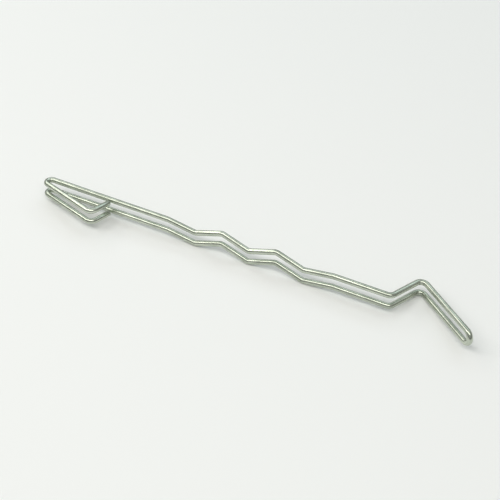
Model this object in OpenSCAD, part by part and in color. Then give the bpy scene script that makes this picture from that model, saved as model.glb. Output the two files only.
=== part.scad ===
// Masonry wall tie: one drawn wire bent to a narrow hairpin of two legs.
// Millimetres, +Z up. X runs along the tie with the drip at its middle.
// The two legs lie one above the other, as the tie comes to rest on its side.

/* [Wire] */
// Diameter of the drawn wire
wire_d = 2.8; // [2.4:0.05:3.2]
// Distance between the two legs, centre to centre
leg_pitch = 6.2; // [5.6:0.1:7.2]
// Overall length, from the folded tips to the closed end
tie_length = 225; // [200:5:300]
// Centre line radius of the bends in the drip and the hump
bend_r = 3.2; // [2.6:0.1:3.8]
// Extra width of the wire at a bend, where bending squashes it
bend_swell = 0.06; // [0.04:0.02:0.1]

/* [Drip] */
// Distance along the tie from a valley of the drip to the next crest
drip_half_pitch = 14.2; // [13:0.2:15]
// Height of the drip, from its valleys to its crests
drip_height = 4.9; // [4:0.1:5.4]
// Depth of the valleys below the straight legs
drip_drop = 2.35; // [1.8:0.05:2.7]
// Length of the gentle slope on either side of the drip
drip_lead = 15; // [13:0.5:17]

/* [Hump at the closed end] */
// Length of the closed end, from the foot of the hump to the end
hump_length = 41; // [38:0.5:44]
// Height of the hump where its two slopes meet
hump_rise = 18.6; // [16:0.2:21]
// Angle of the steep slope of the hump
hump_steep = 65; // [60:1:70]
// Angle of the long slope of the hump
hump_slope = 40; // [36:1:44]

/* [Folded ends] */
// Length of a fold, from its tip to the corner where the wire turns back to its leg
fold_length = 34; // [30:1:38]
// Angle at which a folded end opens from its leg
fold_angle = 17; // [14:1:20]
// Angle of the short slope that closes the fold
fold_steep = 74; // [66:1:80]
// Clear gap left between the cut end and the leg
cut_gap = 0.8; // [0.5:0.1:1.2]
// Centre line radius of the fold at its tip
fold_r = 2.35; // [1.9:0.05:2.8]

/* [Hidden] */
$fn = 48;
steel = [0.66, 0.67, 0.63];
// Length that each straight runs on into a bend
bend_lap = wire_d / 18;

// Folded end: the two straight lines of a fold meet beyond its round tip
tip_x = -tie_length / 2;
fold_centre_x = tip_x + wire_d / 2 + fold_r;
fold_meet = [fold_centre_x - fold_r / tan(fold_angle / 2), 0, 0];
corner_x = tip_x + fold_length;
fold_corner = [corner_x, -(corner_x - fold_meet[0]) * tan(fold_angle), 0];

// Cut end: the short slope stops just before its square face would touch the leg
cut_y = -(wire_d / 2 + cut_gap + wire_d / 2 * cos(fold_steep));
cut_end = [corner_x + (cut_y - fold_corner[1]) / tan(fold_steep), cut_y, 0];

// Drip: three valleys and two crests, the same on both sides of the middle
crest = drip_height - drip_drop;
valley_x = 2 * drip_half_pitch;
drip_x = valley_x + drip_lead;

// Closed end: foot and top of the hump, and the point where the round end starts
foot_x = tie_length / 2 - hump_length;
top_x = foot_x + hump_rise / tan(hump_steep);
end_x = tie_length / 2 - wire_d / 2 - leg_pitch / 2 * cos(hump_slope);
end_y = hump_rise - (end_x - top_x) * tan(hump_slope);

// How far a round corner stays short of the point where its two slopes meet
function shortfall(a, b) = bend_r * (cos((a - b) / 2) / cos((a + b) / 2) - 1);

// Resting roll: the tie leans over from the outer valleys of its drip on to the top of the hump
lead_slope = atan(drip_drop / drip_lead);
wave_slope = atan(drip_height / drip_half_pitch);
drip_reach = drip_drop - shortfall(lead_slope, wave_slope);
hump_reach = hump_rise - shortfall(hump_steep, hump_slope);
rest_roll = asin(drip_reach / hump_reach);

// Corner points of one leg, from its cut end to the round end
leg_points = [
    cut_end,
    fold_corner,
    fold_meet,
    [-drip_x, 0, 0],
    [-valley_x, 0, -drip_drop],
    [-drip_half_pitch, 0, crest],
    [0, 0, -drip_drop],
    [drip_half_pitch, 0, crest],
    [valley_x, 0, -drip_drop],
    [drip_x, 0, 0],
    [foot_x, 0, 0],
    [top_x, hump_rise, 0],
    [end_x, end_y, 0]
];

// Side to which the wire turns at each corner: 0 inwards, 180 outwards, 90 down and 270 up
leg_aims = [0, 0, 0, 90, 270, 90, 270, 90, 270, 90, 180, 0];
last_corner = len(leg_points) - 2;

// Bend at a corner: its radius, the angle turned and the length it takes from each straight
function unit(v) = v / norm(v);
function heading(i) = unit(leg_points[i + 1] - leg_points[i]);
function radius_at(i) = leg_points[i] == fold_meet ? fold_r : bend_r;
function turn_at(i) = acos(max(-1, min(1, heading(i - 1) * heading(i))));
function setback(i) = (i < 1 || i > last_corner) ? 0 : radius_at(i) * tan(turn_at(i) / 2);

// Straight wire left between corner i and the next one
function feed(i) = norm(leg_points[i + 1] - leg_points[i]) - setback(i) - setback(i + 1);

// Bend schedule of the whole wire: feed, angle turned, side and radius for each step.
// It runs out along the lower leg, round the closed end and back along the upper leg.
schedule = concat(
    [for (i = [1 : last_corner]) [feed(i - 1), turn_at(i), leg_aims[i], radius_at(i)]],
    [[feed(last_corner), 180, 270, leg_pitch / 2]],
    [for (i = [last_corner : -1 : 1]) [feed(i), turn_at(i), -leg_aims[i], radius_at(i)]],
    [[feed(0), 0, 0, 0]]
);

// Round bend that starts upwards along +Z and turns towards +X
module bend(angle, radius) {
    translate([radius, 0, 0])
        rotate([90, 0, 180])
            rotate_extrude(angle = angle)
                translate([radius, 0])
                    circle(d = wire_d + bend_swell);
}

// Wire from step i of the schedule to its end, each step starting where the last one stopped
module wire_from(i) {
    length = schedule[i][0];
    angle = schedule[i][1];
    aim = schedule[i][2];
    radius = schedule[i][3];
    last = len(schedule) - 1;
    lap_before = i == 0 ? 0 : bend_lap;
    lap_after = i == last ? 0 : bend_lap;
    translate([0, 0, -lap_before])
        cylinder(d = wire_d, h = lap_before + length + lap_after);
    if (i < last)
        translate([0, 0, length])
            rotate([0, 0, aim]) {
                bend(angle, radius);
                translate([radius * (1 - cos(angle)), 0, radius * sin(angle)])
                    rotate([0, angle, 0])
                        rotate([0, 0, -aim])
                            wire_from(i + 1);
            }
}

// The whole tie, walked from the cut end of its lower leg
module tie() {
    color(steel)
        rotate([-rest_roll, 0, 0])
            translate([cut_end[0], cut_end[1], -leg_pitch / 2])
                rotate([-90, 0, 90 + fold_steep])
                    wire_from(0);
}

tie();
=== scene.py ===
"""Masonry wall tie: a drawn stainless wire with its material, and the studio that shows it."""
import math

import bpy
from mathutils import Matrix, Vector
from mathutils.kdtree import KDTree


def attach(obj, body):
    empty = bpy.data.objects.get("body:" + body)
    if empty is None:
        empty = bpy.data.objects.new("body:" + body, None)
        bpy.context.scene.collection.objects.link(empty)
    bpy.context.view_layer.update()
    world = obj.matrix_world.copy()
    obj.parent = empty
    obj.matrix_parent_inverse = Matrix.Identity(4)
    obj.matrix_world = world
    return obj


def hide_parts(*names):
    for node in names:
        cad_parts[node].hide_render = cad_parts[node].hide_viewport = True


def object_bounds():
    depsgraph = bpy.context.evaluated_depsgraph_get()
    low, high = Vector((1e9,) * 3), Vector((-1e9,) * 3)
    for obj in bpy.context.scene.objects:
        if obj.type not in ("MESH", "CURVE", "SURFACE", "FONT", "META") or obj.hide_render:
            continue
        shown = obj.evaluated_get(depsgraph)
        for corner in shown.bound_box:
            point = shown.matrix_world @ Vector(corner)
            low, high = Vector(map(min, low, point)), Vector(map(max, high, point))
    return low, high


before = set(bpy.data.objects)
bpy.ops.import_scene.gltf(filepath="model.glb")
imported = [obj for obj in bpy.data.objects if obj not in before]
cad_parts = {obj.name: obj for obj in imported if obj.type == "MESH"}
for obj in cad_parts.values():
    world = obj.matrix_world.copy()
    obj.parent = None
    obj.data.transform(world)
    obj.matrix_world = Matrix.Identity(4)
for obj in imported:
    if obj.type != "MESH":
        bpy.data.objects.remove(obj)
CAD_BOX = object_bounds()

bl_info = {
    "name": "Masonry Wall Tie",
    "version": (1, 0, 0),
    "blender": (4, 5, 0),
    "location": "3D View > Sidebar > Wall Tie",
    "description": "Models a bent wire wall tie and a plain studio around it",
    "category": "Object",
}

MM_PER_M = 1000

# Sides to which the wire turns at a bend, in degrees round it
INWARDS = 0
DOWN = 90
OUTWARDS = 180
UP = 270

# Fineness of the wire's mesh: points round it, usual length of a pull in metres, and steps in a bend
WIRE_SIDES = 28
PULL_LENGTH = 0.012
STEP_DEGREES = 9
FEWEST_STEPS = 3

# Edges sharper than the first are shaded sharp, and those sharper than the second are rims of cut ends
SMOOTH_ANGLE = math.radians(40)
RIM_ANGLE = math.radians(60)

# Sheared face of a cut end: widths are shares of the wire's diameter, depths are shares of the worn edge
DISH_WIDTH = 0.14
DISH_DEPTH = 0.6
TEAR_WIDTH = 0.1
TEAR_HEIGHT = 0.3
FACE_DEPTH = 0.5

# Sockets of a Mix node for colours
MIX_SHARE = 0
MIX_FROM = 6
MIX_TO = 7
MIX_RESULT = 2

# Sockets of a Math node that multiplies two values and adds a third
TIMES_THIS = 0
TIMES_THAT = 1
PLUS = 2


# Properties

def linear(hex_code):
    """Linear colour of an sRGB hex code."""
    out = []
    for i in (1, 3, 5):
        c = int(hex_code[i:i + 2], 16) / 255
        out.append(c / 12.92 if c <= 0.04045 else ((c + 0.055) / 1.055) ** 2.4)
    return tuple(out)


def length(name, description, default):
    """Size property in metres."""
    return bpy.props.FloatProperty(name=name, description=description, default=default, min=0, precision=5,
                                   unit="LENGTH")


def angle(name, description, degrees):
    """Angle property, which Blender keeps in radians."""
    return bpy.props.FloatProperty(name=name, description=description, default=math.radians(degrees),
                                   subtype="ANGLE")


def colour(name, description, hex_code):
    """Colour property from an sRGB hex code."""
    return bpy.props.FloatVectorProperty(name=name, description=description, default=linear(hex_code), size=3,
                                         min=0, max=1, subtype="COLOR")


def strength(name, description, default):
    """Brightness property of the room, where 1 shows its colour as written."""
    return bpy.props.FloatProperty(name=name, description=description, default=default, min=0)


class TieSizes(bpy.types.PropertyGroup):
    """Sizes and colours of the wire."""
    wire_d: length("Wire", "Diameter of the drawn wire", 0.0028)
    leg_pitch: length("Leg pitch", "Distance between the two legs", 0.0062)
    tie_length: length("Length", "Overall length of the tie", 0.225)
    bend_r: length("Bend radius", "Centre line radius of the drip and the hump", 0.0032)
    drip_half_pitch: length("Drip half pitch", "Valley to crest along the tie", 0.0142)
    drip_height: length("Drip height", "Valleys to crests", 0.0049)
    drip_drop: length("Drip drop", "Depth of the valleys below the legs", 0.00235)
    drip_lead: length("Drip lead", "Length of the gentle slope beside the drip", 0.015)
    hump_length: length("Hump length", "Foot of the hump to the closed end", 0.041)
    hump_rise: length("Hump rise", "Height where the two slopes meet", 0.0186)
    hump_steep: angle("Steep slope", "Angle of the hump's steep slope", 65)
    hump_slope: angle("Long slope", "Angle of the hump's long slope", 40)
    fold_length: length("Fold length", "Tip of a fold to its corner", 0.034)
    fold_angle: angle("Fold opening", "Angle of a fold from its leg", 17)
    fold_steep: angle("Closing slope", "Angle of the short slope that closes a fold", 74)
    cut_gap: length("Cut gap", "Clear gap between a cut end and its leg", 0.0008)
    fold_r: length("Fold radius", "Centre line radius of a fold", 0.00235)
    cut_bevel: length("Cut edge", "Worn edge of the cut ends", 0.00016)
    steel: colour("Steel", "Drawn stainless steel", "#D6DCCE")
    steel_dark: colour("Dull steel", "Steel dulled by drawing soap", "#B2B9AB")
    steel_line: colour("Die lines", "Grime in the die lines", "#667264")
    steel_cut: colour("Cut steel", "Fresh sheared steel", "#D3DDCE")


class StageSettings(bpy.types.PropertyGroup):
    """Studio around the tie."""
    azimuth: angle("Azimuth", "Camera angle round the tie", 26)
    elevation: angle("Elevation", "Camera angle above the floor", 45)
    distance: length("Distance", "Camera to the middle of the tie", 0.52)
    lens: bpy.props.FloatProperty(name="Lens", description="Focal length of the camera", default=79, min=1,
                                  unit="CAMERA")
    floor: colour("Floor", "Plain pale floor", "#F4F5F5")
    floor_size: length("Floor size", "Side of the floor", 40)
    room: colour("Room", "Pale room all round", "#F0F1EF")
    wall_light: strength("Wall light", "Strength of the room at the horizon", 0.2)
    ceiling_light: strength("Ceiling light", "Strength of the room overhead", 0.71)
    key: colour("Key light", "Slightly warm soft light", "#FFFDF6")
    fill: colour("Fill light", "Cool soft light", "#DDF3F7")


# Course of the wire

def leg_corners(sizes):
    """Corner points of one leg, from its cut end to the start of the round end."""
    centre_x = -sizes.tie_length / 2 + sizes.wire_d / 2 + sizes.fold_r
    meet_x = centre_x - sizes.fold_r / math.tan(sizes.fold_angle / 2)
    corner_x = -sizes.tie_length / 2 + sizes.fold_length
    corner_y = -(corner_x - meet_x) * math.tan(sizes.fold_angle)
    cut_y = -(sizes.wire_d / 2 + sizes.cut_gap + sizes.wire_d / 2 * math.cos(sizes.fold_steep))
    cut_x = corner_x + (cut_y - corner_y) / math.tan(sizes.fold_steep)
    valley = -sizes.drip_drop
    crest = sizes.drip_height - sizes.drip_drop
    half = sizes.drip_half_pitch
    foot_x = sizes.tie_length / 2 - sizes.hump_length
    top_x = foot_x + sizes.hump_rise / math.tan(sizes.hump_steep)
    end_x = sizes.tie_length / 2 - sizes.wire_d / 2 - sizes.leg_pitch / 2 * math.cos(sizes.hump_slope)
    end_y = sizes.hump_rise - (end_x - top_x) * math.tan(sizes.hump_slope)
    return [
        Vector((cut_x, cut_y, 0)),
        Vector((corner_x, corner_y, 0)),
        Vector((meet_x, 0, 0)),
        Vector((-2 * half - sizes.drip_lead, 0, 0)),
        Vector((-2 * half, 0, valley)),
        Vector((-half, 0, crest)),
        Vector((0, 0, valley)),
        Vector((half, 0, crest)),
        Vector((2 * half, 0, valley)),
        Vector((2 * half + sizes.drip_lead, 0, 0)),
        Vector((foot_x, 0, 0)),
        Vector((top_x, sizes.hump_rise, 0)),
        Vector((end_x, end_y, 0)),
    ]


def bend_schedule(sizes):
    """Feed, angle turned, side and radius of each step along the whole wire.

    It runs out along the lower leg, round the closed end and back along the upper leg.
    """
    points = leg_corners(sizes)
    last = len(points) - 2
    corners = range(1, last + 1)

    # Side at each point: the cut end has no bend, and the fold's tip is the second corner after it
    fold_tip = 2
    fold_sides = [INWARDS, INWARDS]
    drip_sides = [DOWN, UP, DOWN, UP, DOWN, UP, DOWN]
    hump_sides = [OUTWARDS, INWARDS]
    sides = [None] + fold_sides + drip_sides + hump_sides

    # Straight wire left between the bends
    headings = [(points[i + 1] - points[i]).normalized() for i in range(last + 1)]
    radii = [sizes.fold_r if i == fold_tip else sizes.bend_r for i in range(last + 1)]
    turns = [0.0] + [headings[i - 1].angle(headings[i]) for i in corners]
    setbacks = [radii[i] * math.tan(turns[i] / 2) for i in range(last + 1)] + [0.0]
    feeds = [(points[i + 1] - points[i]).length - setbacks[i] - setbacks[i + 1] for i in range(last + 1)]
    if min(feeds) < 0:
        raise ValueError("two bends overlap, because a radius or an angle leaves no straight between them")

    steps = [(feeds[i - 1], turns[i], math.radians(sides[i]), radii[i]) for i in corners]
    steps.append((feeds[last], math.pi, math.radians(UP), sizes.leg_pitch / 2))
    steps += [(feeds[i], turns[i], math.radians(-sides[i]), radii[i]) for i in reversed(corners)]
    steps.append((feeds[0], 0.0, 0.0, 0.0))
    return steps


def shortfall(sizes, slope, next_slope):
    """How far a round corner stays short of the point where its two slopes meet."""
    lean = (slope - next_slope) / 2
    half_turn = (slope + next_slope) / 2
    return sizes.bend_r * (math.cos(lean) / math.cos(half_turn) - 1)


def start_frame(sizes):
    """Frame at the cut end of the lower leg, with +Z along the wire, after the resting roll."""
    lead_slope = math.atan(sizes.drip_drop / sizes.drip_lead)
    wave_slope = math.atan(sizes.drip_height / sizes.drip_half_pitch)
    drip_reach = sizes.drip_drop - shortfall(sizes, lead_slope, wave_slope)
    hump_reach = sizes.hump_rise - shortfall(sizes, sizes.hump_steep, sizes.hump_slope)
    roll = Matrix.Rotation(-math.asin(drip_reach / hump_reach), 4, "X")
    place = Matrix.Translation(leg_corners(sizes)[0] + Vector((0, 0, -sizes.leg_pitch / 2)))
    level = Matrix.Rotation(math.radians(-90), 4, "X")
    aim = Matrix.Rotation(math.radians(90) + sizes.fold_steep, 4, "Z") @ level
    return roll @ place @ aim


# Mesh steps

def deselect_all():
    """Leaves nothing selected, so that the next step touches only the new piece."""
    if bpy.context.object and bpy.context.object.mode != "OBJECT":
        bpy.ops.object.mode_set(mode="OBJECT")
    bpy.ops.object.select_all(action="DESELECT")


def draw_wire(sizes):
    """Extrudes and spins one round section along the bend schedule.

    Returns the new piece, still in edit mode, and the rings it is made of. A ring is its frame, its distance
    along the wire and how far it is bent, from 0 on a straight to 1 at the middle of a bend.
    """
    at = start_frame(sizes)
    bpy.ops.mesh.primitive_circle_add(vertices=WIRE_SIDES, radius=sizes.wire_d / 2, fill_type="NGON",
                                      location=at.translation, rotation=at.to_euler())
    piece = bpy.context.object
    bpy.ops.object.transform_apply(location=True, rotation=True, scale=True)
    bpy.ops.object.mode_set(mode="EDIT")
    bpy.ops.mesh.select_all(action="SELECT")
    along = 0.0
    rings = [(at.copy(), along, 0.0)]
    for feed, turn, side, radius in bend_schedule(sizes):
        pulls = max(1, round(feed / PULL_LENGTH))
        for _ in range(pulls):
            step = at.to_3x3() @ Vector((0, 0, feed / pulls))
            bpy.ops.mesh.extrude_region_move(TRANSFORM_OT_translate={"value": step})
            at = Matrix.Translation(step) @ at
            along += feed / pulls
            rings.append((at.copy(), along, 0.0))
        if turn == 0:
            continue

        # Bend: the spin operator turns against its axis, so its angle is negative
        face = at @ Matrix.Rotation(side, 4, "Z")
        centre = face @ Vector((radius, 0, 0))
        axis = face.to_3x3() @ Vector((0, 1, 0))
        steps = max(FEWEST_STEPS, math.ceil(math.degrees(turn) / STEP_DEGREES))
        bpy.ops.mesh.spin(steps=steps, dupli=False, angle=-turn, center=centre, axis=axis)
        for k in range(1, steps + 1):
            swing = Matrix.Rotation(turn * k / steps, 4, axis)
            ring = Matrix.Translation(centre) @ swing @ Matrix.Translation(-centre) @ at
            rings.append((ring, along + radius * turn * k / steps, math.sin(math.pi * k / steps)))
        at = rings[-1][0].copy()
        along += radius * turn
    return piece, rings


def finish_cut_ends(sizes):
    """Rounds the rims of the cut ends, and dishes each sheared face round its torn middle."""
    bpy.ops.mesh.select_all(action="SELECT")
    bpy.ops.mesh.normals_make_consistent(inside=False)
    bpy.ops.mesh.select_all(action="DESELECT")
    bpy.ops.mesh.select_mode(type="EDGE")
    bpy.ops.mesh.edges_select_sharp(sharpness=RIM_ANGLE)
    bpy.ops.mesh.bevel(offset=sizes.cut_bevel, segments=2, affect="EDGES")

    # Only the two cut faces have more than four sides
    bpy.ops.mesh.select_mode(type="FACE")
    bpy.ops.mesh.select_all(action="DESELECT")
    bpy.ops.mesh.select_face_by_sides(number=4, type="GREATER")
    bpy.ops.mesh.inset(thickness=sizes.wire_d * DISH_WIDTH, depth=-sizes.cut_bevel * DISH_DEPTH,
                       use_individual=True)
    bpy.ops.mesh.inset(thickness=sizes.wire_d * TEAR_WIDTH, depth=sizes.cut_bevel * TEAR_HEIGHT,
                       use_individual=True)
    bpy.ops.mesh.select_all(action="DESELECT")
    bpy.ops.object.mode_set(mode="OBJECT")


def store_lay(piece, rings, sizes):
    """Stores on each point where it lies on the wire, in millimetres, and how far it is bent or cut."""
    mesh = piece.data
    tree = KDTree(len(rings))
    for i, ring in enumerate(rings):
        tree.insert(ring[0].translation, i)
    tree.balance()
    lay = mesh.attributes.new("wire_lay", "FLOAT_VECTOR", "POINT")
    worked = mesh.attributes.new("wire_worked", "FLOAT_VECTOR", "POINT")
    total = rings[-1][1]
    face_depth = sizes.cut_bevel * FACE_DEPTH
    for point in mesh.vertices:
        _, i, _ = tree.find(point.co)
        at, along, bent = rings[i]
        local = at.inverted() @ point.co
        along += local.z
        cut = 1.0 if min(along, total - along) < face_depth else 0.0
        lay.data[point.index].vector = Vector((local.x, local.y, along)) * MM_PER_M
        worked.data[point.index].vector = (bent, cut, 0.0)


# Materials

def node(tree, kind, fields=None, values=None, links=None):
    """Adds one shader node, sets its fields and input values, and links other outputs to its inputs."""
    new = tree.nodes.new(kind)
    for key, value in (fields or {}).items():
        setattr(new, key, value)
    for key, value in (values or {}).items():
        new.inputs[key].default_value = value
    for key, output in (links or {}).items():
        tree.links.new(output, new.inputs[key])
    return new


def drawn_stainless(sizes):
    """Austenitic stainless wire, cold drawn through dies, bent on pins and sheared.

    Drawing gives it long fine lines and a satin gloss that runs along the wire, and leaves dull patches of
    soap. The pins burnish the bends, and the shear leaves a bright face with a torn middle.
    """
    material = bpy.data.materials.new("stainless_wire_cold_drawn")
    material.use_nodes = True
    tree = material.node_tree
    shader = tree.nodes["Principled BSDF"]
    shader.inputs["Metallic"].default_value = 1.0
    lay = node(tree, "ShaderNodeAttribute", {"attribute_name": "wire_lay"}).outputs["Vector"]
    worked = node(tree, "ShaderNodeAttribute", {"attribute_name": "wire_worked"}).outputs["Vector"]
    parts = node(tree, "ShaderNodeSeparateXYZ", links={0: worked})
    bent = parts.outputs["X"]
    cut = parts.outputs["Y"]

    # Die lines, in millimetres: real ones are some 0.05 mm apart, and these are coarser so that they show
    line_width = 0.4
    line_length = 40
    stretch = node(tree, "ShaderNodeMapping",
                   values={"Scale": (1 / line_width, 1 / line_width, 1 / line_length)},
                   links={"Vector": lay}).outputs[0]
    lines = node(tree, "ShaderNodeTexNoise", values={"Scale": 1, "Detail": 3, "Roughness": 0.6},
                 links={"Vector": stretch}).outputs["Fac"]

    # Soap patches, in millimetres round the wire and along it
    patch_width = 2
    patch_length = 7
    patch = node(tree, "ShaderNodeMapping",
                 values={"Scale": (1 / patch_width, 1 / patch_width, 1 / patch_length)},
                 links={"Vector": lay}).outputs[0]
    soap = node(tree, "ShaderNodeTexNoise", values={"Scale": 1, "Detail": 5, "Roughness": 0.65},
                links={"Vector": patch}).outputs["Fac"]
    dull = node(tree, "ShaderNodeMapRange", values={"From Min": 0.38, "From Max": 0.68},
                links={"Value": soap}).outputs[0]
    body = node(tree, "ShaderNodeMix", {"data_type": "RGBA"},
                {MIX_FROM: (*sizes.steel, 1), MIX_TO: (*sizes.steel_dark, 1)},
                {MIX_SHARE: dull}).outputs[MIX_RESULT]

    # Grime in the die lines: the low ones are a little darker, and the fresh cut faces have none
    low = node(tree, "ShaderNodeMapRange", values={"From Min": 0.56, "From Max": 0.34, "To Max": 0.4},
               links={"Value": lines}).outputs[0]
    lined = node(tree, "ShaderNodeMix", {"data_type": "RGBA"}, {MIX_TO: (*sizes.steel_line, 1)},
                 {MIX_SHARE: low, MIX_FROM: body}).outputs[MIX_RESULT]
    surface = node(tree, "ShaderNodeMix", {"data_type": "RGBA"}, {MIX_TO: (*sizes.steel_cut, 1)},
                   {MIX_SHARE: cut, MIX_FROM: lined}).outputs[MIX_RESULT]
    tree.links.new(surface, shader.inputs["Base Color"])

    # Gloss: the die lines scatter, the pins burnish the bends, and the torn face of a cut is rough
    burnish = -0.06
    tear = 0.14
    scatter = node(tree, "ShaderNodeMapRange",
                   values={"From Min": 0.3, "From Max": 0.7, "To Min": 0.19, "To Max": 0.32},
                   links={"Value": lines}).outputs[0]
    burnished = node(tree, "ShaderNodeMath", {"operation": "MULTIPLY_ADD"}, {TIMES_THAT: burnish},
                     {TIMES_THIS: bent, PLUS: scatter}).outputs[0]
    torn = node(tree, "ShaderNodeMath", {"operation": "MULTIPLY_ADD"}, {TIMES_THAT: tear},
                {TIMES_THIS: cut, PLUS: burnished}).outputs[0]
    tree.links.new(torn, shader.inputs["Roughness"])

    # Depth of the die lines, in metres
    line_depth = 0.00003
    relief = node(tree, "ShaderNodeBump", values={"Strength": 0.4, "Distance": line_depth},
                  links={"Height": lines}).outputs[0]
    tree.links.new(relief, shader.inputs["Normal"])
    return material


def pale_floor(stage):
    """Matt pale card, uncoated: plain and even, with a soft shadow and hardly any gloss."""
    material = bpy.data.materials.new("card_uncoated")
    material.use_nodes = True
    shader = material.node_tree.nodes["Principled BSDF"]
    shader.inputs["Base Color"].default_value = (*stage.floor, 1)
    shader.inputs["Roughness"].default_value = 0.9
    shader.inputs["Specular IOR Level"].default_value = 0.1
    return material


# Operators

class TIE_OT_wire(bpy.types.Operator):
    """Model the bent wire and give it its material"""
    bl_idname = "tie.wire"
    bl_label = "Wire"

    def execute(self, context):
        if "tie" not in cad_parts:
            raise RuntimeError("the frame has no node named tie for the wire to stand for")
        sizes = context.scene.tie_sizes
        deselect_all()
        piece, rings = draw_wire(sizes)
        piece.name = "wall_tie_wire"
        finish_cut_ends(sizes)
        store_lay(piece, rings, sizes)
        bpy.ops.object.shade_smooth_by_angle(angle=SMOOTH_ANGLE)
        piece.data.materials.clear()
        piece.data.materials.append(drawn_stainless(sizes))
        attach(piece, "root")
        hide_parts("tie")
        return {"FINISHED"}


class TIE_OT_stage(bpy.types.Operator):
    """Add the floor, the soft lights, the room and the camera"""
    bl_idname = "tie.stage"
    bl_label = "Stage"

    def execute(self, context):
        stage = context.scene.tie_stage
        low, high = (Vector(corner) for corner in CAD_BOX)
        deselect_all()
        bpy.ops.mesh.primitive_plane_add(size=stage.floor_size, location=(0, 0, low.z))
        floor = context.object
        floor.name = "stage_floor"
        floor.data.materials.append(pale_floor(stage))
        self.light(context, "key_strip", at=(-0.2, -0.4, 0.95), target=(-0.2, 0, 0), size=(1.9, 0.34),
                   power=6.0, tint=stage.key)
        self.light(context, "fill_strip", at=(-0.2, 0.8, 0.8), target=(-0.2, 0, 0), size=(1.9, 0.32),
                   power=2.1, tint=stage.fill)
        self.light(context, "end_strip", at=(-0.85, 0.1, 0.75), target=(0, 0.1, 0), size=(1.2, 0.3),
                   power=2.1, tint=stage.key)
        self.world(context, stage)
        self.camera(context, stage, (low + high) / 2)
        context.scene.view_settings.view_transform = "Standard"
        return {"FINISHED"}

    def aim(self, thing, at, target):
        """Puts a light or the camera at a point and turns it to face a target."""
        thing.location = at
        thing.rotation_euler = (Vector(target) - Vector(at)).to_track_quat("-Z", "Y").to_euler()

    def light(self, context, name, at, target, size, power, tint):
        """Long soft light whose length lies level."""
        data = bpy.data.lights.new(name, "AREA")
        data.shape = "RECTANGLE"
        data.size, data.size_y = size
        data.energy = power
        data.color = tint
        lamp = bpy.data.objects.new(name, data)
        context.collection.objects.link(lamp)
        self.aim(lamp, at, target)

    def world(self, context, stage):
        """Pale room, brightest overhead, whose darker walls draw the dark bands along the wire."""
        world = bpy.data.worlds.new("studio_room")
        context.scene.world = world
        world.use_nodes = True
        tree = world.node_tree
        way = node(tree, "ShaderNodeTexCoord").outputs["Generated"]
        height = node(tree, "ShaderNodeSeparateXYZ", links={0: way}).outputs["Z"]
        brightness = node(tree, "ShaderNodeMapRange",
                          values={"To Min": stage.wall_light, "To Max": stage.ceiling_light},
                          links={"Value": height}).outputs[0]
        room = tree.nodes["Background"]
        room.inputs["Color"].default_value = (*stage.room, 1)
        tree.links.new(brightness, room.inputs["Strength"])

    def camera(self, context, stage, middle):
        """Camera at the photograph's angle, with the humped end nearer."""
        flat = math.cos(stage.elevation) * stage.distance
        rise = math.sin(stage.elevation) * stage.distance
        at = middle + Vector((math.sin(stage.azimuth) * flat, -math.cos(stage.azimuth) * flat, rise))
        data = bpy.data.cameras.new("photo_view")
        data.lens = stage.lens
        camera = bpy.data.objects.new("photo_view", data)
        context.collection.objects.link(camera)
        self.aim(camera, at, middle)
        context.scene.camera = camera


class TIE_PT_panel(bpy.types.Panel):
    """Sizes, colours and studio of the wall tie"""
    bl_label = "Wall Tie"
    bl_idname = "TIE_PT_panel"
    bl_space_type = "VIEW_3D"
    bl_region_type = "UI"
    bl_category = "Wall Tie"

    def draw(self, context):
        for group in (context.scene.tie_sizes, context.scene.tie_stage):
            box = self.layout.box()
            for key in group.bl_rna.properties.keys():
                if key not in ("rna_type", "name"):
                    box.prop(group, key)
        self.layout.operator("tie.wire")
        self.layout.operator("tie.stage")


CLASSES = (TieSizes, StageSettings, TIE_OT_wire, TIE_OT_stage, TIE_PT_panel)


def register():
    """Adds the classes and the two groups of settings to Blender."""
    for cls in CLASSES:
        bpy.utils.register_class(cls)
    bpy.types.Scene.tie_sizes = bpy.props.PointerProperty(type=TieSizes)
    bpy.types.Scene.tie_stage = bpy.props.PointerProperty(type=StageSettings)


def unregister():
    """Takes them out again."""
    del bpy.types.Scene.tie_stage
    del bpy.types.Scene.tie_sizes
    for cls in reversed(CLASSES):
        bpy.utils.unregister_class(cls)


def main():
    """Builds the tie and its studio."""
    register()
    bpy.ops.tie.wire()
    bpy.ops.tie.stage()


if __name__ == "__main__":
    main()
